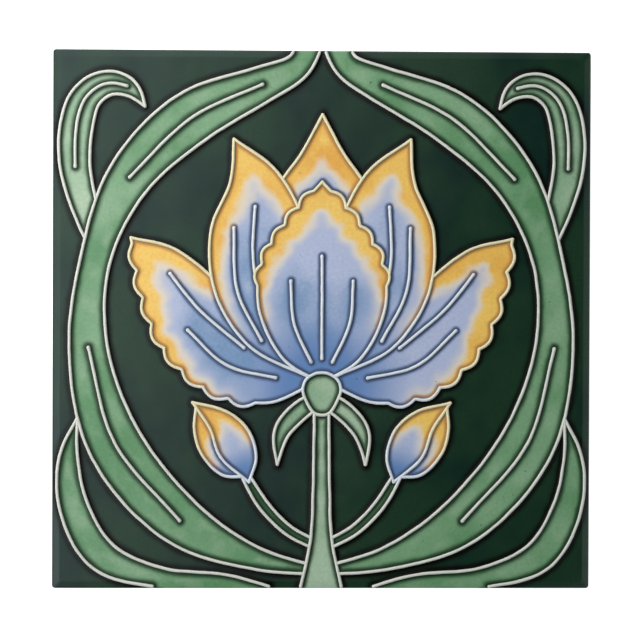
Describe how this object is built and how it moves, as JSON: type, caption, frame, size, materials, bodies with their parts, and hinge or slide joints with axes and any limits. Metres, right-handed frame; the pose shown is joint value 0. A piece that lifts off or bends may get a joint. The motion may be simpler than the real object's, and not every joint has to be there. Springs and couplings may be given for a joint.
{
  "type": "art nouveau tile",
  "caption": "Square glazed wall tile with raised slip lines, a stylised flower and strap leaves on a dark green ground, and a keyed back.",
  "frame": {"origin": "centre of the flat back, on the surface that the tile lies on", "axes": "+Z out of the glazed face, +Y up the drawing, +X to its right"},
  "size_m": [0.1524, 0.1524, 0.0095],
  "materials": {
    "glazed_tile": "gloss glaze in bottle green, leaf green, grey blue and ochre between raised off-white slip lines, on an unglazed buff back"
  },
  "bodies": {
    "root": {"tile": "glazed_tile"}
  },
  "joints": []
}
